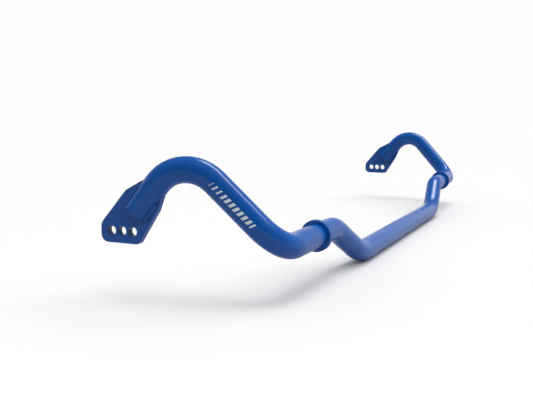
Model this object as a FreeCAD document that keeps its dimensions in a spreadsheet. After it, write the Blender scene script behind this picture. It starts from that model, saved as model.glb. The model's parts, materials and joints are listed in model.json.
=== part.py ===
"""Sway bar: a bent hollow bar with a slotted-in, welded link plate at each end and two stop collars.

Bar frame while modelling: X runs across the car, the centre section's axis is the X axis, the arms
reach towards +Y and rise towards +Z. Every piece is then placed so that the centre section stands on
Z = 0 and the origin is at the middle of the whole bar's footprint.
"""
import FreeCAD, Part
import Sketcher
import math
import os

Vector = FreeCAD.Vector
Rotation = FreeCAD.Rotation
Placement = FreeCAD.Placement

# alias, millimetres or degrees, meaning
DIMENSIONS = [
    ("tube_od", 28.0, "outside diameter of the tube"),
    ("tube_wall", 4.0, "wall thickness of the tube"),
    ("centre_half", 235.0, "centre section: from the middle to the corner where it kinks up"),
    ("kink_x", 318.0, "corner where the kink meets the bush seat"),
    ("seat_y", 9.5, "bush seat axis, towards the arms"),
    ("seat_z", 43.5, "bush seat axis, above the centre section's axis"),
    ("elbow_x", 482.0, "corner where the bush seat turns into the arm"),
    ("arm_x", 512.0, "apex corner of the arm and middle plane of the link plate"),
    ("apex_y", 108.5, "apex corner of the arm"),
    ("apex_z", 146.0, "apex corner of the arm"),
    ("drop_angle", 51.7, "slope of the arm's end below the horizontal"),
    ("drop_length", 87.0, "from the apex corner to the tube's tip"),
    ("kink_radius", 85.0, "bend radius where the centre section kinks up"),
    ("bend_radius", 42.0, "bend radius of the other bends"),
    ("slot_start", 53.0, "from the apex corner to the root of the plate's slot"),
    ("plate_thick", 8.0, "link plate thickness"),
    ("plate_shoulder_y", 175.0, "rear shoulder corner of the link plate"),
    ("plate_shoulder_z", 101.0, "rear shoulder corner of the link plate"),
    ("plate_back_y", 206.8, "rear edge of the link plate"),
    ("plate_back_z", 64.0, "top corner of the link plate's rear edge"),
    ("plate_base_z", 43.6, "bottom edge of the link plate"),
    ("plate_toe_y", 159.6, "front corner of the bottom edge"),
    ("plate_waist_y", 136.6, "front waist corner of the link plate"),
    ("plate_waist_z", 79.8, "front waist corner of the link plate"),
    ("plate_edge", 0.6, "rounding of the link plate's long edges"),
    ("hole_d", 10.2, "link hole, clears an M10 bolt"),
    ("hole_pitch", 13.2, "distance between link holes"),
    ("hole_first_y", 166.8, "link hole nearest the centre section: the stiffest setting"),
    ("hole_z", 56.7, "height of the row of link holes"),
    ("hole_edge", 0.4, "edge break of the link holes"),
    ("collar_od", 37.0, "stop collar outside diameter"),
    ("collar_width", 7.5, "stop collar width"),
    ("collar_x", 380.0, "middle of the stop collar"),
    ("collar_edge", 0.9, "chamfer of the stop collar's rim"),
    ("register_depth", 0.25, "depth of the tube's shallow register under the collar"),
    ("cap_thick", 4.0, "thickness of the half-moon caps"),
    ("weld_leg", 3.2, "leg of the seams beside the tube"),
    ("tip_weld", 2.4, "half width of the seam round the tube's tip"),
    ("front_seam_start", 62.0, "from the apex corner to the start of the front seam"),
    ("rear_seam_start", 59.0, "from the apex corner to the start of the rear seam"),
    ("tool_reach", 20.0, "how far cutting and keeping shapes reach past the tube's axis"),
    ("register_clear", 1.0, "how far the register's cutting outline stands outside the tube"),
]

CORNER_RADII = {"shoulder": 16.0, "back": 12.0, "heel": 9.0, "toe": 6.0, "waist": 10.0}
HOLES_PER_PLATE = 3
SAME = 0.01             # positions closer than this many millimetres are one and the same
CUT_TOLERANCE = 0.02    # share by which a cut's volume may differ from what is worked out
SLOT_TOLERANCE = 0.1    # the same for the slot, whose volume is worked out for a flat wall
SIDES = {"left": -1, "right": 1}
FACES = {"outer": 1, "inner": -1}

doc = FreeCAD.newDocument("sway_bar")


# ---------------------------------------------------------------- driving dimensions

def make_sheet():
    """The sheet that holds every driving dimension as a plain number with an alias."""
    sheet = doc.addObject("Spreadsheet::Sheet", "dims")
    rows = DIMENSIONS + [(f"radius_{name}", value, f"link plate corner radius: {name}")
                         for name, value in CORNER_RADII.items()]
    for row, (alias, value, meaning) in enumerate(rows, start=1):
        sheet.set(f"A{row}", meaning)
        sheet.set(f"B{row}", str(value))
        sheet.setAlias(f"B{row}", alias)
    doc.recompute()
    return sheet


dims = make_sheet()


def dim(alias):
    """A driving dimension's value."""
    return float(dims.get(alias))


TUBE_R = dim("tube_od") / 2
BORE_R = TUBE_R - dim("tube_wall")
HALF_PLATE = dim("plate_thick") / 2
FOOTPRINT_MIDDLE_Y = (dim("plate_back_y") - TUBE_R) / 2
SHIFT = Vector(0, -FOOTPRINT_MIDDLE_Y, TUBE_R)     # from the bar frame to the part's own frame
DROP = math.radians(dim("drop_angle"))
REARWARD = Vector(0, math.sin(DROP), math.cos(DROP))    # across the arm's end, away from the centre section
DOWN_END = Vector(0, math.cos(DROP), -math.sin(DROP))   # along the arm's end, towards its tip


# ---------------------------------------------------------------- the bar's centreline

def end_axis_point(side, along):
    """Point on the axis of the arm's end, at a distance from the apex corner."""
    return Vector(side * dim("arm_x"), dim("apex_y"), dim("apex_z")) + DOWN_END * along


def corners(side):
    """The corners of half the centreline, from the middle of the bar to the tube's tip."""
    return [
        Vector(0, 0, 0),
        Vector(side * dim("centre_half"), 0, 0),
        Vector(side * dim("kink_x"), dim("seat_y"), dim("seat_z")),
        Vector(side * dim("elbow_x"), dim("seat_y"), dim("seat_z")),
        Vector(side * dim("arm_x"), dim("apex_y"), dim("apex_z")),
        end_axis_point(side, dim("drop_length")),
    ]


def bent_path(points, radii):
    """Straight runs through the points, joined by tangent arcs of the given radii."""
    edges = []
    start = points[0]
    for before, corner, after, radius in zip(points, points[1:], points[2:], radii):
        into = (corner - before).normalize()
        out = (after - corner).normalize()
        turn = into.getAngle(out)
        tangent = radius * math.tan(turn / 2)
        arc_start = corner - into * tangent
        arc_end = corner + out * tangent
        inward = (out - into).normalize()
        arc_middle = corner + inward * (radius / math.cos(turn / 2) - radius)
        edges.append(Part.LineSegment(start, arc_start).toShape())
        edges.append(Part.Arc(arc_start, arc_middle, arc_end).toShape())
        start = arc_end
    edges.append(Part.LineSegment(start, points[-1]).toShape())
    return Part.Wire(edges)


def make_centreline():
    """The left half of the centreline, which the tube's section follows."""
    bend = dim("bend_radius")
    line = doc.addObject("Part::Feature", "half_centreline")
    line.Shape = bent_path(corners(SIDES["left"]), [dim("kink_radius"), bend, bend, bend])
    return line


# ---------------------------------------------------------------- helpers

def make_body(label):
    """An empty PartDesign body with a name of its own."""
    body = doc.addObject("PartDesign::Body", label)
    body.Label = label
    return body


def origin_plane(body, role):
    """One of the body's own origin planes, by its role."""
    return next(feature for feature in body.Origin.OriginFeatures if feature.Role == role)


def make_sketch(body, name, role):
    """A sketch on one of the body's origin planes."""
    sketch = body.newObject("Sketcher::SketchObject", name)
    sketch.AttachmentSupport = (origin_plane(body, role), [""])
    sketch.MapMode = "FlatFace"
    return sketch


def bind_constraint(sketch, constraint, expression):
    """Tie one constraint of a sketch to the sheet, by the constraint's number."""
    sketch.setExpression(f"Constraints[{constraint}]", expression)


def add_circle(sketch, diameter, at=(0.0, 0.0), at_expressions=None):
    """A circle whose diameter, and centre if given, come from the sheet."""
    circle = sketch.addGeometry(Part.Circle(Vector(at[0], at[1], 0), Vector(0, 0, 1), 5.0))
    radius = sketch.addConstraint(Sketcher.Constraint("Diameter", circle, 10.0))
    bind_constraint(sketch, radius, diameter)
    if at_expressions is None:
        sketch.addConstraint(Sketcher.Constraint("Coincident", circle, 3, -1, 1))
        return circle
    for kind, start, expression in zip(("DistanceX", "DistanceY"), at, at_expressions):
        number = sketch.addConstraint(Sketcher.Constraint(kind, -1, 1, circle, 3, start))
        bind_constraint(sketch, number, expression)
    return circle


def add_polygon(sketch, points, expressions):
    """A closed outline whose corners are each placed by the sheet."""
    count = len(points)
    lines = [
        sketch.addGeometry(Part.LineSegment(Vector(*points[i], 0), Vector(*points[(i + 1) % count], 0)))
        for i in range(count)
    ]
    for i, line in enumerate(lines):
        sketch.addConstraint(Sketcher.Constraint("Coincident", line, 2, lines[(i + 1) % count], 1))
    for line, point, pair in zip(lines, points, expressions):
        for kind, start, expression in zip(("DistanceX", "DistanceY"), point, pair):
            number = sketch.addConstraint(Sketcher.Constraint(kind, -1, 1, line, 1, start))
            bind_constraint(sketch, number, expression)
    return lines


def place_on_side(body, side, x_alias):
    """Put a body that was drawn in the bar frame's YZ plane on its side of the bar."""
    body.Placement = Placement(SHIFT + Vector(side * dim(x_alias), 0, 0), Rotation())
    body.setExpression(".Placement.Base.x", f"{side} * dims.{x_alias}")


# ---------------------------------------------------------------- the tube

def end_point(along, across):
    """A point in the arm end's own plane, as (y, z) numbers and as the sheet's expressions.

    Both distances, along the tube and across it, are given as a number and as the same in the sheet's words.
    """
    place = end_axis_point(0, along[0]) + REARWARD * across[0]
    cosine, sine = "cos(dims.drop_angle * 1deg)", "sin(dims.drop_angle * 1deg)"
    expressions = (f"dims.apex_y + ({along[1]}) * {cosine} + ({across[1]}) * {sine}",
                   f"dims.apex_z - ({along[1]}) * {sine} + ({across[1]}) * {cosine}")
    return (place.y, place.z), expressions


def make_tube(centreline):
    """The bent tube: half of it piped along the centreline, registered, slotted, then mirrored."""
    body = make_body("bar_tube")
    section = make_sketch(body, "tube_section", "YZ_Plane")
    add_circle(section, "dims.tube_od")
    add_circle(section, "dims.tube_od - 2 * dims.tube_wall")
    half = body.newObject("PartDesign::AdditivePipe", "half_tube")
    half.Profile = section
    half.Spine = (centreline, [f"Edge{i + 1}" for i in range(len(centreline.Shape.Edges))])
    doc.recompute()

    register = make_register(body)
    slot = make_slot(body)
    mirror = body.newObject("PartDesign::Mirrored", "other_half")
    mirror.Originals = [half, register, slot]
    mirror.MirrorPlane = (origin_plane(body, "YZ_Plane"), [""])
    body.Tip = mirror
    body.Placement = Placement(SHIFT, Rotation())
    return body


def make_register(body):
    """The shallow turned register that the stop collar sits in."""
    sketch = make_sketch(body, "register_section", "XZ_Plane")
    sketch.AttachmentOffset = Placement(Vector(-dim("collar_x"), dim("seat_z"), -dim("seat_y")), Rotation())
    sketch.setExpression("AttachmentOffset.Base.x", "-dims.collar_x")
    sketch.setExpression("AttachmentOffset.Base.y", "dims.seat_z")
    sketch.setExpression("AttachmentOffset.Base.z", "-dims.seat_y")
    half_width = dim("collar_width") / 2
    floor = TUBE_R - dim("register_depth")
    outside = TUBE_R + dim("register_clear")
    add_polygon(
        sketch,
        [(-half_width, floor), (half_width, floor), (half_width, outside), (-half_width, outside)],
        [("-dims.collar_width / 2", "dims.tube_od / 2 - dims.register_depth"),
         ("dims.collar_width / 2", "dims.tube_od / 2 - dims.register_depth"),
         ("dims.collar_width / 2", "dims.tube_od / 2 + dims.register_clear"),
         ("-dims.collar_width / 2", "dims.tube_od / 2 + dims.register_clear")],
    )
    doc.recompute()
    before = body.Tip.Shape.Volume
    groove = body.newObject("PartDesign::Groove", "collar_register")
    groove.Profile = sketch
    groove.ReferenceAxis = (sketch, ["H_Axis"])
    groove.Angle = 360.0
    doc.recompute()
    expect_cut(groove, before, math.pi * (TUBE_R ** 2 - floor ** 2) * dim("collar_width"))
    return groove


def make_slot(body):
    """The slot in the tube's end that the link plate goes into."""
    sketch = make_sketch(body, "slot_outline", "YZ_Plane")
    sketch.AttachmentOffset = Placement(Vector(0, 0, -dim("arm_x")), Rotation())
    sketch.setExpression("AttachmentOffset.Base.z", "-dims.arm_x")
    root = (dim("slot_start"), "dims.slot_start")
    past_tip = (dim("drop_length") + TUBE_R, "dims.drop_length + dims.tube_od / 2")
    rear = (dim("tool_reach"), "dims.tool_reach")
    front = (-dim("tool_reach"), "-dims.tool_reach")
    outline = [end_point(root, rear), end_point(past_tip, rear),
               end_point(past_tip, front), end_point(root, front)]
    add_polygon(sketch, [point for point, _ in outline], [pair for _, pair in outline])
    before = body.Tip.Shape.Volume
    slot = body.newObject("PartDesign::Pocket", "plate_slot")
    slot.Profile = sketch
    slot.Midplane = True
    slot.Length = dim("plate_thick")
    slot.setExpression("Length", "dims.plate_thick")
    doc.recompute()
    wall_share = 2 * (dim("tube_wall") * dim("plate_thick"))
    expect_cut(slot, before, wall_share * (dim("drop_length") - dim("slot_start")), SLOT_TOLERANCE)
    return slot


def expect_cut(feature, before, volume, tolerance=CUT_TOLERANCE):
    """Stop if a cut took away nothing, or much more or less than it should."""
    removed = before - feature.Shape.Volume
    if abs(removed - volume) > tolerance * volume:
        raise RuntimeError(f"{feature.Name} removed {removed:.1f} mm3, not {volume:.1f} mm3")


# ---------------------------------------------------------------- link plates

def plate_corners():
    """The link plate's corners in the YZ plane, as numbers and as the sheet's expressions."""
    root = (dim("slot_start"), "dims.slot_start")
    rear_root = end_point(root, (TUBE_R, "dims.tube_od / 2"))
    front_root = end_point(root, (-TUBE_R, "-dims.tube_od / 2"))
    points, expressions = [rear_root[0]], [rear_root[1]]
    for pair in (("plate_shoulder_y", "plate_shoulder_z"), ("plate_back_y", "plate_back_z"),
                 ("plate_back_y", "plate_base_z"), ("plate_toe_y", "plate_base_z"),
                 ("plate_waist_y", "plate_waist_z")):
        points.append((dim(pair[0]), dim(pair[1])))
        expressions.append((f"dims.{pair[0]}", f"dims.{pair[1]}"))
    points.append(front_root[0])
    expressions.append(front_root[1])
    return points, expressions


def upright_edges(shape, point):
    """The names of the edges that run along X through a point of the YZ plane."""
    names = []
    for number, edge in enumerate(shape.Edges, start=1):
        ends = [vertex.Point for vertex in edge.Vertexes]
        if len(ends) == 2 and all(math.hypot(e.y - point[0], e.z - point[1]) < SAME for e in ends):
            names.append(f"Edge{number}")
    return names


def rim_edges(shape, holes):
    """The names of the edges that lie in the plate's two faces: round its holes, or round its outline."""
    names = []
    for number, edge in enumerate(shape.Edges, start=1):
        on_face = all(abs(abs(vertex.Point.x) - HALF_PLATE) < SAME for vertex in edge.Vertexes)
        flat = edge.BoundBox.XLength < SAME
        is_round = edge.Curve.TypeId == "Part::GeomCircle"
        is_hole = is_round and abs(edge.Curve.Radius - dim("hole_d") / 2) < SAME
        if on_face and flat and is_hole == holes:
            names.append(f"Edge{number}")
    return names


def rim_edges_of_outline(shape):
    """The names of the outline's edges in both faces, leaving out the holes' broken edges."""
    centres = [(dim("hole_first_y") + i * dim("hole_pitch"), dim("hole_z")) for i in range(HOLES_PER_PLATE)]
    near_hole = dim("hole_d") / 2 + 2 * dim("hole_edge")
    names = []
    for name in rim_edges(shape, holes=False):
        middle = shape.getElement(name).BoundBox.Center
        if all(math.hypot(middle.y - y, middle.z - z) > near_hole for y, z in centres):
            names.append(name)
    return names


def make_plate(name, side):
    """A link plate: a flat outline with rounded corners, three link holes and broken edges."""
    body = make_body(f"link_plate_{name}")
    outline = make_sketch(body, f"plate_outline_{name}", "YZ_Plane")
    points, expressions = plate_corners()
    add_polygon(outline, points, expressions)
    pad = body.newObject("PartDesign::Pad", f"plate_pad_{name}")
    pad.Profile = outline
    pad.Midplane = True
    pad.setExpression("Length", "dims.plate_thick")
    doc.recompute()

    base = pad
    for corner, point in zip(CORNER_RADII, points[1:6]):
        rounding = body.newObject("PartDesign::Fillet", f"{corner}_{name}")
        rounding.Base = (base, upright_edges(base.Shape, point))
        rounding.setExpression("Radius", f"dims.radius_{corner}")
        doc.recompute()
        base = rounding

    first = make_sketch(body, f"first_hole_{name}", "YZ_Plane")
    place = (dim("hole_first_y"), dim("hole_z"))
    add_circle(first, "dims.hole_d", place, ("dims.hole_first_y", "dims.hole_z"))
    before = base.Shape.Volume
    hole = body.newObject("PartDesign::Pocket", f"link_hole_{name}")
    hole.Profile = first
    hole.Midplane = True
    hole.setExpression("Length", "2 * dims.plate_thick")
    row = body.newObject("PartDesign::LinearPattern", f"link_holes_{name}")
    row.Originals = [hole]
    row.Direction = (first, ["H_Axis"])
    row.Occurrences = HOLES_PER_PLATE
    row.setExpression("Length", f"{HOLES_PER_PLATE - 1} * dims.hole_pitch")
    body.Tip = row
    doc.recompute()
    expect_cut(row, before, HOLES_PER_PLATE * math.pi * (dim("hole_d") / 2) ** 2 * dim("plate_thick"))

    rim = body.newObject("PartDesign::Chamfer", f"hole_edge_{name}")
    rim.Base = (row, rim_edges(row.Shape, holes=True))
    rim.setExpression("Size", "dims.hole_edge")
    doc.recompute()
    edge = body.newObject("PartDesign::Fillet", f"plate_edge_{name}")
    edge.Base = (rim, rim_edges_of_outline(rim.Shape))
    edge.setExpression("Radius", "dims.plate_edge")
    body.Tip = edge
    place_on_side(body, side, "arm_x")
    return body


# ---------------------------------------------------------------- stop collars

def make_collar(name, side):
    """A plain stop collar: a chamfered ring turned about the bush seat's axis."""
    body = make_body(f"stop_collar_{name}")
    sketch = make_sketch(body, f"collar_section_{name}", "XY_Plane")
    half = dim("collar_width") / 2
    inside = TUBE_R - dim("register_depth")
    outside = dim("collar_od") / 2
    inner, outer = "dims.tube_od / 2 - dims.register_depth", "dims.collar_od / 2"
    add_polygon(
        sketch,
        [(-half, inside), (half, inside), (half, outside), (-half, outside)],
        [("-dims.collar_width / 2", inner), ("dims.collar_width / 2", inner),
         ("dims.collar_width / 2", outer), ("-dims.collar_width / 2", outer)],
    )
    ring = body.newObject("PartDesign::Revolution", f"collar_ring_{name}")
    ring.Profile = sketch
    ring.ReferenceAxis = (sketch, ["H_Axis"])
    ring.Angle = 360.0
    doc.recompute()
    rim = [f"Edge{number}" for number, edge in enumerate(ring.Shape.Edges, start=1)
           if edge.Curve.TypeId == "Part::GeomCircle" and abs(edge.Curve.Radius - outside) < SAME]
    chamfer = body.newObject("PartDesign::Chamfer", f"collar_rim_{name}")
    chamfer.Base = (ring, rim)
    chamfer.setExpression("Size", "dims.collar_edge")
    body.Tip = chamfer
    seat = Vector(side * dim("collar_x"), dim("seat_y"), dim("seat_z"))
    body.Placement = Placement(SHIFT + seat, Rotation())
    return body


# ---------------------------------------------------------------- caps and weld seams

def end_frame(side, face, along, across=0.0, out=0.0):
    """A placement at the bar's end: Z runs down the tube and X points out of the plate's face."""
    out_of_face = Vector(side * face, 0, 0)
    second = DOWN_END.cross(out_of_face)
    spot = end_axis_point(side, along) + REARWARD * across + out_of_face * out
    return Placement(SHIFT + spot, Rotation(out_of_face, second, DOWN_END, "ZXY"))


def make_cylinder(name, radius, length, placement):
    """A cylinder with its radius and height tied to the sheet."""
    cylinder = doc.addObject("Part::Cylinder", name)
    cylinder.setExpression("Radius", radius)
    cylinder.setExpression("Height", length)
    cylinder.Placement = placement
    return cylinder


def make_half_space(name, side, face):
    """The block that covers the tube's end on one face of the plate, from the plate's surface outwards."""
    block = doc.addObject("Part::Box", name)
    block.setExpression("Length", "dims.tool_reach")
    block.setExpression("Width", "2 * dims.tool_reach")
    block.setExpression("Height", "4 * dims.tool_reach")
    frame = end_frame(side, face, dim("drop_length"))
    corner = Vector(HALF_PLATE, -dim("tool_reach"), -2 * dim("tool_reach"))
    block.Placement = frame.multiply(Placement(corner, Rotation()))
    return block


def combine(kind, label, *shapes):
    """A Part boolean with a name of its own."""
    result = doc.addObject(f"Part::{kind}", label)
    result.Label = label
    if kind == "MultiFuse":
        result.Shapes = list(shapes)
    else:
        result.Base, result.Tool = shapes
    return result


def make_cap(label, side, face, half_space):
    """A half-moon cap that closes the tube's mouth beside the plate, flush with the tip."""
    frame = end_frame(side, face, dim("drop_length") - dim("cap_thick"))
    disc = make_cylinder(f"{label}_disc", "dims.tube_od / 2 - dims.tube_wall", "dims.cap_thick", frame)
    return combine("Common", label, disc, half_space)


def make_seam(label, side, face, half_space, across_sign, start_alias):
    """A fillet seam in the corner between the tube's side and the plate's face, with round ends."""
    chord = math.sqrt(TUBE_R ** 2 - HALF_PLATE ** 2)
    start = dim(start_alias)
    frame = end_frame(side, face, start, across_sign * chord, HALF_PLATE)
    run = make_cylinder(f"{label}_run", "dims.weld_leg", f"dims.drop_length - dims.{start_alias}", frame)
    ball = doc.addObject("Part::Sphere", f"{label}_start")
    ball.setExpression("Radius", "dims.weld_leg")
    ball.Placement = frame
    bead = combine("MultiFuse", f"{label}_bead", run, ball)
    outside = combine("Common", f"{label}_on_face", bead, half_space)
    rod = make_cylinder(f"{label}_tube", "dims.tube_od / 2", "dims.drop_length",
                        end_frame(side, face, 0.0))
    return combine("Cut", label, outside, rod)


def make_tip_seam(label, side, face, half_space):
    """The seam round the tube's tip: over the half ring of the tube's wall, and along the plate."""
    tip = dim("drop_length")
    ring = doc.addObject("Part::Torus", f"{label}_ring")
    ring.setExpression("Radius1", "dims.tube_od / 2 - dims.tube_wall / 2")
    ring.setExpression("Radius2", "dims.tip_weld")
    ring.Placement = end_frame(side, face, tip)
    foot = make_cylinder(f"{label}_foot", "dims.tip_weld", "dims.tube_od - dims.tube_wall",
                         across_the_tip(side, face))
    bead = combine("MultiFuse", f"{label}_bead", ring, foot)
    outside = combine("Common", f"{label}_on_face", bead, half_space)
    rod = make_cylinder(f"{label}_tube", "dims.tube_od", "dims.drop_length", end_frame(side, face, 0.0))
    return combine("Cut", label, outside, rod)


def across_the_tip(side, face):
    """A placement whose Z axis runs across the tube's tip, along the plate's face."""
    reach = TUBE_R - dim("tube_wall") / 2
    on_face = Vector(side * face * HALF_PLATE, 0, 0)
    spot = end_axis_point(side, dim("drop_length")) - REARWARD * reach + on_face
    return Placement(SHIFT + spot, Rotation(Vector(0, 0, 1), REARWARD))


def make_end(name, side):
    """The caps and seams of one end of the bar."""
    pieces = []
    for face_name, face in FACES.items():
        where = f"{name}_{face_name}"
        half_space = make_half_space(f"half_space_{where}", side, face)
        pieces.append(make_cap(f"end_cap_{where}", side, face, half_space))
        pieces.append(make_seam(f"front_weld_{where}", side, face, half_space, -1, "front_seam_start"))
        pieces.append(make_seam(f"rear_weld_{where}", side, face, half_space, 1, "rear_seam_start"))
        pieces.append(make_tip_seam(f"tip_weld_{where}", side, face, half_space))
    return pieces


# ---------------------------------------------------------------- build, check and write

def build():
    """Every sub-part of the bar."""
    centreline = make_centreline()
    pieces = [make_tube(centreline)]
    for name, side in SIDES.items():
        pieces.append(make_plate(name, side))
        pieces.append(make_collar(name, side))
        pieces += make_end(name, side)
    return centreline, pieces


def check(pieces):
    """Stop if anything failed to compute or isn't one valid solid."""
    for item in doc.Objects:
        if {"Invalid", "Error"} & set(item.State):
            raise RuntimeError(f"{item.Label} is {item.State}")
    for piece in pieces:
        shape = piece.Shape
        if shape.isNull() or not shape.isValid() or len(shape.Solids) != 1:
            raise RuntimeError(f"{piece.Label} isn't one valid solid")


centreline, sub_parts = build()
doc.recompute()
check(sub_parts)

half_length = centreline.Shape.Length
wall_section = math.pi * (TUBE_R ** 2 - BORE_R ** 2)
print(f"developed length of the bar {2 * half_length:.1f} mm")
print(f"plain tube {2 * half_length * wall_section:.0f} mm3, as cut {sub_parts[0].Shape.Volume:.0f} mm3")

os.makedirs("parts", exist_ok=True)
for sub_part in sub_parts:
    sub_part.Shape.exportStep(f"parts/{sub_part.Label}.step")
    print(sub_part.Label, round(sub_part.Shape.Volume, 1))
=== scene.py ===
"""Looks for the sway bar: gloss blue powder coat over a bent tube, its link plates, collars and welds."""
import bpy
import json
import math
from mathutils import Matrix, Vector


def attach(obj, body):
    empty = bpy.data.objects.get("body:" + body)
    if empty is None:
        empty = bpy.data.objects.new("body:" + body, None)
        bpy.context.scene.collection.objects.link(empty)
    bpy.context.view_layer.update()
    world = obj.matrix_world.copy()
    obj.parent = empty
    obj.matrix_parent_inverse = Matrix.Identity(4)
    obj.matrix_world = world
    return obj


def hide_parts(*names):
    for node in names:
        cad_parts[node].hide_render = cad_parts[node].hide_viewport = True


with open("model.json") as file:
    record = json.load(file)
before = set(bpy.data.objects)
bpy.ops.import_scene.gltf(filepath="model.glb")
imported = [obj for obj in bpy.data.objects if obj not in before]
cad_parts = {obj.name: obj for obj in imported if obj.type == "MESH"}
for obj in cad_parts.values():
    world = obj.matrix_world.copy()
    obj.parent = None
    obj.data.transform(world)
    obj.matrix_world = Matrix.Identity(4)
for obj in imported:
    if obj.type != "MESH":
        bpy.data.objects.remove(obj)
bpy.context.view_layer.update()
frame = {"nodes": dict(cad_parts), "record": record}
nodes = frame["nodes"]

# ---------------------------------------------------------------- named values, metres unless said

TUBE_R = 0.014
WALL = 0.004
HALF_PLATE = 0.004
APEX = Vector((0.512, 0.0121, 0.160))               # where the arm's two straight runs would meet
ARM_FOOT = Vector((0.482, -0.0869, 0.0575))         # where the arm's run and the bush seat would meet
DROP = math.radians(51.7)
TIP = 0.087                                         # from the apex corner to the tube's tip
SEAM_LEG = 0.0031
SEAM_STARTS = {"front": 0.062, "rear": 0.059}
TIP_BEAD = 0.0023
RIPPLE = 0.0021                                     # spacing of a weld's ripples
BELLY = 0.20                                        # how far a seam bulges between its ripples, in legs
BELLY_RIPPLE = 0.17                                 # and how much further on them
RIPPLE_LEAD = 0.45                                  # how far a ripple's middle runs ahead, in ripples
RINGS_PER_RIPPLE = 8
SEAM_POINTS = 9                                     # across a seam's face
SEAM_START_RUN = 0.0022                             # a seam grows to its full leg over this length
SEAM_END_RUN = 0.0018                               # and narrows again over this one
SEAM_END_LEG = 0.62                                 # to this share of its leg
NEARLY_NONE = 0.00004                               # keeps a seam's first ring open
SEAM_SINK = 0.0006                                  # how far a side seam's root goes into the plate
TIP_STAND_OFF = 0.0006                              # from the plate's face to the tip bead's own line
TIP_POINTS = 10                                     # round the tip bead
TIP_LOW = 0.80                                      # the tip bead's size between ripples, against TIP_BEAD
TIP_RISE = 0.85                                     # how much it is flattened along the tube

COAT_BLUE = (0.0035, 0.098, 0.42)
COAT_DEEP = (0.0025, 0.085, 0.37)
CREASE_PAINTED_SHADE = (0.0015, 0.030, 0.11)                 # painted shade: a dark blue put in the creases beside the welds, where shade falls
PAINTED_SHADE_REACH = 0.024
COAT_SPECULAR = 0.36
GLOSS_SPREAD = 0.06                                 # how much the roughness varies
MARK_ROUGHER = 0.12
PEEL_DEPTH = 0.0002
MARK_WHITE = (0.80, 0.86, 0.93)

MARK_START = 0.0382                                 # along the left arm, from its foot
MARK_END = 0.0985
MARK_THIN = 0.081                                   # beyond here the dashes are thinner
MARK_PITCH = 0.0060
MARK_HALF_HEIGHT = 0.0033
MARK_TURN = math.radians(6.0)                       # round the tube, from the side that faces outwards
MARK_SLANT = 0.35
MARK_EDGE = 0.00015
MARK_BOLD = (0.15, 0.72)                            # where a dash starts and ends in its pitch
MARK_FINE = (0.30, 0.62)

CAMERA_AT = Vector((-1.16757, -0.3676, 0.19891))
CAMERA_YAW = 0.410715
CAMERA_PITCH = 0.120111
CAMERA_ROLL = 0.0065257
IMAGE_WIDTH = 533
FOCAL_PIXELS = 740.0
SENSOR_MM = 36.0

WHITE = (1.0, 1.0, 1.0, 1.0)
BACKDROP_LEVEL = 0.985
FLOOR_SEEN = (0.724, 0.723, 0.722)
FLOOR_BOUNCE = (0.42, 0.42, 0.44)
SOFTBOXES = [
    # name, direction towards it, strength, breadth in degrees
    ("key_softbox", (0.24, -0.54, 1.0), 1.64, 75.0),
    ("top_softbox", (0.03, -0.06, 1.0), 0.85, 32.0),
]
STRIP = [
    # lamps in a row that only the gloss shows: azimuth and elevation in degrees, and strength
    (-56.0, 47.0, 0.36),
    (-44.0, 53.0, 0.42),
    (-30.0, 57.0, 0.33),
    (-14.0, 60.0, 0.42),
    (2.0, 60.0, 0.34),
]
STRIP_BREADTH = 16.0
ROOM_BRIGHT_WAY = (0.80, 0.35, 0.49)                # the side of the room that lights the bar
ROOM_LEVELS = (0.16, 1.0)
WALL_WAY = (0.95, 0.30, 0.0)                        # the side whose low wall the gloss shows
GLOSS_LEVELS = (0.10, 0.80)


# ---------------------------------------------------------------- node helpers

def add(tree, kind, links=None, **values):
    """A node with properties set; links maps inputs to output sockets or to plain values."""
    node = tree.nodes.new(kind)
    for key, value in values.items():
        setattr(node, key, value)
    for socket, source in (links or {}).items():
        if hasattr(source, "links"):
            tree.links.new(source, node.inputs[socket])
        else:
            node.inputs[socket].default_value = source
    return node


def math_node(tree, operation, *inputs):
    """One scalar operation on sockets or numbers."""
    return add(tree, "ShaderNodeMath", dict(enumerate(inputs)), operation=operation).outputs[0]


def dot(tree, vector, direction):
    """The dot product of a vector socket and a fixed direction."""
    node = add(tree, "ShaderNodeVectorMath", {0: vector, 1: tuple(direction)}, operation="DOT_PRODUCT")
    return node.outputs["Value"]


def noise(tree, where, scale, detail=2.0):
    """A grey noise of the given scale, per metre."""
    return add(tree, "ShaderNodeTexNoise", {"Vector": where, "Scale": scale, "Detail": detail}).outputs["Fac"]


def ramp(tree, value, low, high, out_low=0.0, out_high=1.0):
    """value mapped from low..high to out_low..out_high, clamped."""
    node = add(tree, "ShaderNodeMapRange",
               {"Value": value, "From Min": low, "From Max": high, "To Min": out_low, "To Max": out_high})
    return node.outputs["Result"]


def mix_colour(tree, factor, a, b):
    """Colour a where factor is 0 and b where it is 1."""
    node = add(tree, "ShaderNodeMix", data_type="RGBA")
    tree.links.new(factor, node.inputs[0])
    for index, value in ((6, a), (7, b)):
        if hasattr(value, "links"):
            tree.links.new(value, node.inputs[index])
        else:
            node.inputs[index].default_value = (*value, 1.0)
    return node.outputs[2]


def new_material(name):
    """A material, its node tree and its principled shader."""
    material = bpy.data.materials.new(name)
    material.use_nodes = True
    tree = material.node_tree
    return material, tree, tree.nodes["Principled BSDF"]


# ---------------------------------------------------------------- the coat and the printed mark

def arm_axes():
    """The left arm's foot, its direction, and two directions across it: outwards, and round from there."""
    foot = Vector((-ARM_FOOT.x, ARM_FOOT.y, ARM_FOOT.z))
    along = (Vector((-APEX.x, APEX.y, APEX.z)) - foot).normalized()
    outwards = Vector((-1, 0, 0))
    outwards = (outwards - outwards.dot(along) * along).normalized()
    return foot, along, outwards, along.cross(outwards)


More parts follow.
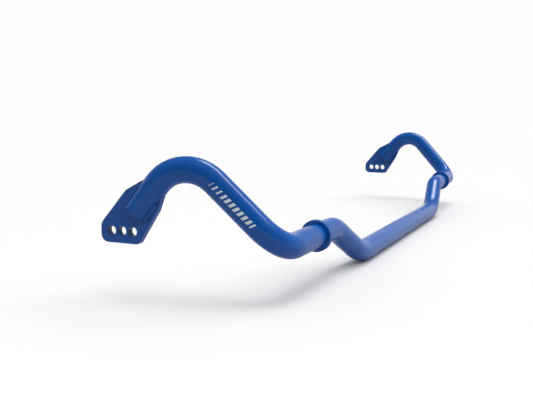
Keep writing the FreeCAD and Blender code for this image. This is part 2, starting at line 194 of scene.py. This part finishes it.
def inside(tree, value, low, high):
    """1 where value is between low and high, with a narrow soft edge."""
    above = ramp(tree, value, low - MARK_EDGE, low + MARK_EDGE)
    below = ramp(tree, value, high - MARK_EDGE, high + MARK_EDGE, 1.0, 0.0)
    return math_node(tree, "MULTIPLY", above, below)


def mark_mask(tree, where):
    """A row of plain slanted dashes printed along the left arm's outward side."""
    foot, along, outwards, round_from = arm_axes()
    place = add(tree, "ShaderNodeVectorMath", {0: where, 1: tuple(foot)}, operation="SUBTRACT").outputs[0]
    run = dot(tree, place, along)
    out = dot(tree, place, outwards)
    up = dot(tree, place, round_from)
    turn = math_node(tree, "SUBTRACT", math_node(tree, "ARCTAN2", up, out), MARK_TURN)
    height = math_node(tree, "MULTIPLY", turn, TUBE_R)
    slanted = math_node(tree, "ADD", run, math_node(tree, "MULTIPLY", height, MARK_SLANT))
    pitches = math_node(tree, "DIVIDE", slanted, MARK_PITCH)
    phase = math_node(tree, "MULTIPLY", math_node(tree, "FRACT", pitches), MARK_PITCH)
    bold = inside(tree, phase, MARK_BOLD[0] * MARK_PITCH, MARK_BOLD[1] * MARK_PITCH)
    thin = inside(tree, phase, MARK_FINE[0] * MARK_PITCH, MARK_FINE[1] * MARK_PITCH)
    is_thin = math_node(tree, "GREATER_THAN", slanted, MARK_THIN)
    dash = add(tree, "ShaderNodeMix", {0: is_thin, 2: bold, 3: thin}, data_type="FLOAT").outputs[0]
    dash = math_node(tree, "MULTIPLY", dash, inside(tree, height, -MARK_HALF_HEIGHT, MARK_HALF_HEIGHT))
    dash = math_node(tree, "MULTIPLY", dash, inside(tree, slanted, MARK_START, MARK_END))
    return math_node(tree, "MULTIPLY", dash, math_node(tree, "LESS_THAN", out, 1.2 * TUBE_R))


def powder_coat(name, roughness, peel, tone=0.0, marked=False, painted_crease_shade=False):
    """Gloss powder coat: blue with a slow drift in depth, orange peel and faintly uneven gloss, and painted
    shade in its creases when asked.
    """
    material, tree, shader = new_material(name)
    where = add(tree, "ShaderNodeTexCoord").outputs["Object"]
    drift = ramp(tree, noise(tree, where, 11.0), 0.3 - tone, 0.7 - tone)
    colour = mix_colour(tree, drift, COAT_BLUE, COAT_DEEP)
    if painted_crease_shade:
        # painted shade: where ambient occlusion finds near surfaces, in the creases beside welds and tube,
        # the coat turns to the dark crease blue
        openness = add(tree, "ShaderNodeAmbientOcclusion", {"Distance": PAINTED_SHADE_REACH}, samples=8)
        shade = ramp(tree, openness.outputs["AO"], 0.42, 0.98)
        colour = mix_colour(tree, shade, CREASE_PAINTED_SHADE, colour)
    gloss = ramp(tree, noise(tree, where, 70.0, 3.0), 0.3, 0.7, roughness, roughness + GLOSS_SPREAD)
    if marked:
        mask = mark_mask(tree, where)
        colour = mix_colour(tree, mask, colour, MARK_WHITE)
        gloss = math_node(tree, "ADD", gloss, math_node(tree, "MULTIPLY", mask, MARK_ROUGHER))
    tree.links.new(colour, shader.inputs["Base Color"])
    tree.links.new(gloss, shader.inputs["Roughness"])
    fine = noise(tree, where, 620.0)
    broad = noise(tree, where, 230.0)
    relief = math_node(tree, "ADD", fine, math_node(tree, "MULTIPLY", broad, 1.6))
    bump = add(tree, "ShaderNodeBump", {"Height": relief, "Strength": peel, "Distance": PEEL_DEPTH})
    tree.links.new(bump.outputs["Normal"], shader.inputs["Normal"])
    shader.inputs["Specular IOR Level"].default_value = COAT_SPECULAR
    return material


COATS = {
    "bar_coat": powder_coat("bar_powder_coat", 0.17, 0.05, marked=True),
    # the plate and weld coats carry painted shade in their creases
    "plate_coat": powder_coat("plate_powder_coat", 0.20, 0.06, tone=0.1, painted_crease_shade=True),
    "collar_coat": powder_coat("collar_powder_coat", 0.18, 0.05, tone=0.05),
    "weld_coat": powder_coat("weld_powder_coat", 0.22, 0.09, tone=0.05, painted_crease_shade=True),
}


def coat_nodes():
    """Gives every carried-over CAD node the coat of its own material slot."""
    slots = {part["node"]: part["material_slot"] for part in frame["record"]["subparts"]}
    for name, node in nodes.items():
        node.data.materials.clear()
        node.data.materials.append(COATS[slots[name]])


# ---------------------------------------------------------------- weld beads

def end_axes(side, face):
    """An arm end's apex corner, and the directions down the tube, out of the plate's face and rearward."""
    apex = Vector((side * APEX.x, APEX.y, APEX.z))
    down = Vector((0, math.cos(DROP), -math.sin(DROP)))
    out = Vector((side * face, 0, 0))
    rearward = Vector((0, math.sin(DROP), math.cos(DROP)))
    return apex, down, out, rearward


def ripple(run, lead):
    """How high a ripple stands at a distance along the bead: a steep front and a long back."""
    phase = (run + lead) / RIPPLE % 1.0
    return phase ** 0.7 * (1.0 - phase) ** 0.35 * 1.6


def skin(name, rings, closed):
    """A mesh through rings of points, with its two ends filled unless the rings join up."""
    count = len(rings[0])
    points = [point for ring in rings for point in ring]
    last = len(rings) if closed else len(rings) - 1
    faces = []
    for i in range(last):
        following = (i + 1) % len(rings)
        for j in range(count):
            k = (j + 1) % count
            faces.append((i * count + j, i * count + k, following * count + k, following * count + j))
    if not closed:
        faces.append(tuple(reversed(range(count))))
        faces.append(tuple(range((len(rings) - 1) * count, len(rings) * count)))
    mesh = bpy.data.meshes.new(name)
    mesh.from_pydata([tuple(point) for point in points], [], faces)
    mesh.shade_smooth()
    piece = bpy.data.objects.new(name, mesh)
    bpy.context.scene.collection.objects.link(piece)
    return piece


def make_bead(name, node, rings, closed=False):
    """A weld bead that stands for a plain CAD seam."""
    piece = skin(name, rings, closed)
    piece.data.materials.append(COATS["weld_coat"])
    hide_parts(node)
    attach(piece, "root")


def side_seam_rings(side, face, start, across_sign):
    """Rings of a fillet bead in the corner between the tube's side and the plate's face."""
    apex, down, out, rearward = end_axes(side, face)
    corner_turn = math.asin(HALF_PLATE / TUBE_R)
    tube_turn = corner_turn + SEAM_LEG / TUBE_R
    corner = Vector((math.cos(corner_turn), math.sin(corner_turn))) * TUBE_R
    toe = corner + Vector((SEAM_LEG, 0))
    top = Vector((math.cos(tube_turn), math.sin(tube_turn))) * TUBE_R
    outward = Vector((toe.y - top.y, top.x - toe.x)).normalized() * -1.0
    steps = int((TIP - start) / RIPPLE * RINGS_PER_RIPPLE)
    rings = []
    for i in range(steps + 1):
        run = (TIP - start) * i / steps
        left = TIP - start - run
        growing = math.sqrt(max(run, NEARLY_NONE) / SEAM_START_RUN)
        narrowing = SEAM_END_LEG + (1 - SEAM_END_LEG) * math.sqrt(left / SEAM_END_RUN)
        taper = min(1.0, growing, narrowing)
        ring = []
        for j in range(SEAM_POINTS):
            share = j / (SEAM_POINTS - 1)
            fullness = 1 - (2 * share - 1) ** 2
            chord = toe.lerp(top, share)
            lead = RIPPLE * RIPPLE_LEAD * fullness
            belly = SEAM_LEG * (BELLY + BELLY_RIPPLE * ripple(run, lead)) * fullness
            spot = corner.lerp(chord + outward * belly, taper)
            ring.append(spot)
        ring.append(corner * 0.93)
        ring.append(Vector((corner.x + SEAM_LEG * 0.5 * taper, corner.y - SEAM_SINK)))
        rings.append([apex + down * (start + run) + rearward * (across_sign * p.x) + out * p.y for p in ring])
    if across_sign * side * face < 0:
        rings = [list(reversed(ring)) for ring in rings]
    return rings


def tip_seam_rings(side, face):
    """Rings of the bead that runs round the half-round end of the tube and back along the plate's face."""
    apex, down, out, rearward = end_axes(side, face)
    reach = TUBE_R - WALL / 2
    foot = HALF_PLATE + TIP_STAND_OFF
    end_turn = math.asin(foot / reach)
    arc_length = reach * (math.pi - 2 * end_turn)
    flat_length = 2 * reach * math.cos(end_turn)
    total = arc_length + flat_length
    steps = int(total / RIPPLE * RINGS_PER_RIPPLE)
    rings = []
    for i in range(steps):
        run = total * i / steps
        if run < arc_length:
            turn = end_turn + run / reach
            middle = Vector((math.cos(turn), math.sin(turn))) * reach
            sideways = Vector((math.cos(turn), math.sin(turn)))
        else:
            middle = Vector((-reach * math.cos(end_turn) + (run - arc_length), foot))
            sideways = Vector((0, -1))
        ring = []
        for j in range(TIP_POINTS):
            angle = 2 * math.pi * j / TIP_POINTS
            lead = RIPPLE * RIPPLE_LEAD * abs(math.sin(angle))
            size = TIP_BEAD * (TIP_LOW + (1 - TIP_LOW) * ripple(run, lead))
            width = sideways * math.cos(angle) * size
            rise = math.sin(angle) * size * TIP_RISE
            spot = middle + width
            ring.append(apex + down * (TIP + rise) + rearward * spot.x + out * spot.y)
        rings.append(ring)
    if side * face < 0:
        rings = [list(reversed(ring)) for ring in rings]
    return rings


def make_welds():
    """Every weld bead of both ends."""
    for end, side in (("left", -1), ("right", 1)):
        for where, face in (("outer", 1), ("inner", -1)):
            for edge, across_sign in (("front", -1), ("rear", 1)):
                rings = side_seam_rings(side, face, SEAM_STARTS[edge], across_sign)
                make_bead(f"{edge}_bead_{end}_{where}", f"{edge}_weld_{end}_{where}", rings)
            rings = tip_seam_rings(side, face)
            make_bead(f"tip_bead_{end}_{where}", f"tip_weld_{end}_{where}", rings, closed=True)


# ---------------------------------------------------------------- stage, light and camera

def split_by_ray(tree, kind, otherwise, chosen):
    """Shader chosen for one kind of ray, and otherwise the other one."""
    path = add(tree, "ShaderNodeLightPath")
    return add(tree, "ShaderNodeMixShader", {0: path.outputs[kind], 1: otherwise, 2: chosen}).outputs[0]


def make_floor():
    """A pale floor, large enough to have no visible edge. It throws less light back than it shows."""
    size = 30.0
    mesh = bpy.data.meshes.new("floor")
    square = [(-size, -size, 0), (size, -size, 0), (size, size, 0), (-size, size, 0)]
    mesh.from_pydata(square, [], [(0, 1, 2, 3)])
    floor = bpy.data.objects.new("floor", mesh)
    bpy.context.scene.collection.objects.link(floor)
    material, tree, shader = new_material("pale_floor")
    shader.inputs["Base Color"].default_value = (*FLOOR_SEEN, 1.0)
    shader.inputs["Roughness"].default_value = 0.7
    shader.inputs["Specular IOR Level"].default_value = 0.1
    bounce = add(tree, "ShaderNodeBsdfDiffuse", {"Color": (*FLOOR_BOUNCE, 1.0)}).outputs[0]
    shown = split_by_ray(tree, "Is Camera Ray", bounce, shader.outputs[0])
    tree.links.new(shown, tree.nodes["Material Output"].inputs["Surface"])
    mesh.materials.append(material)


def room_light(tree, level):
    """A white background of the given level."""
    return add(tree, "ShaderNodeBackground", {"Color": WHITE, "Strength": level}).outputs[0]


def make_world():
    """A white backdrop for the eye. The room is bright beyond the bar and dim on the camera's side, and what
    the gloss shows of it is a low white wall beyond the bar under a dark ceiling."""
    world = bpy.data.worlds.new("studio")
    bpy.context.scene.world = world
    world.use_nodes = True
    tree = world.node_tree
    direction = add(tree, "ShaderNodeTexCoord").outputs["Generated"]
    fill = ramp(tree, dot(tree, direction, ROOM_BRIGHT_WAY), -0.7, 0.9, *ROOM_LEVELS)
    wall = ramp(tree, dot(tree, direction, WALL_WAY), -0.2, 0.9)
    low = ramp(tree, dot(tree, direction, (0.0, 0.0, 1.0)), 0.18, 0.55, 1.0, 0.12)
    gloss = ramp(tree, math_node(tree, "MULTIPLY", wall, low), 0.0, 1.0, *GLOSS_LEVELS)
    lit = split_by_ray(tree, "Is Glossy Ray", room_light(tree, fill), room_light(tree, gloss))
    shown = split_by_ray(tree, "Is Camera Ray", lit, room_light(tree, BACKDROP_LEVEL))
    tree.links.new(shown, tree.nodes["World Output"].inputs["Surface"])


def make_lamp(name, towards_light, strength, breadth):
    """A lamp far enough away to light everything evenly; its breadth softens the shadows."""
    light = bpy.data.lights.new(name, "SUN")
    light.energy = strength
    light.angle = math.radians(breadth)
    lamp = bpy.data.objects.new(name, light)
    bpy.context.scene.collection.objects.link(lamp)
    lamp.rotation_euler = Vector(towards_light).to_track_quat("Z", "Y").to_euler()
    return lamp


def make_lights():
    """Two softboxes that light the bar, and a narrow strip that draws the line along its gloss."""
    for softbox in SOFTBOXES:
        make_lamp(*softbox).visible_glossy = False
    for number, (azimuth, elevation, strength) in enumerate(STRIP, start=1):
        turn, rise = math.radians(azimuth), math.radians(elevation)
        towards = (math.cos(rise) * math.cos(turn), math.cos(rise) * math.sin(turn), math.sin(rise))
        make_lamp(f"strip_lamp_{number}", towards, strength, STRIP_BREADTH).visible_diffuse = False


def make_camera():
    """The camera at the fitted place and angle."""
    forward = Vector((math.cos(CAMERA_YAW) * math.cos(CAMERA_PITCH),
                      math.sin(CAMERA_YAW) * math.cos(CAMERA_PITCH),
                      -math.sin(CAMERA_PITCH)))
    level = forward.cross(Vector((0, 0, 1))).normalized()
    upright = level.cross(forward)
    right = level * math.cos(CAMERA_ROLL) + upright * math.sin(CAMERA_ROLL)
    up = upright * math.cos(CAMERA_ROLL) - level * math.sin(CAMERA_ROLL)
    turn = Matrix((right, up, -forward)).transposed().to_4x4()
    data = bpy.data.cameras.new("camera")
    data.sensor_width = SENSOR_MM
    data.lens = FOCAL_PIXELS / IMAGE_WIDTH * SENSOR_MM
    camera = bpy.data.objects.new("camera", data)
    bpy.context.scene.collection.objects.link(camera)
    camera.matrix_world = Matrix.Translation(CAMERA_AT) @ turn
    bpy.context.scene.camera = camera


coat_nodes()
make_welds()
make_floor()
make_world()
make_lights()
make_camera()
bpy.context.scene.view_settings.view_transform = "Standard"
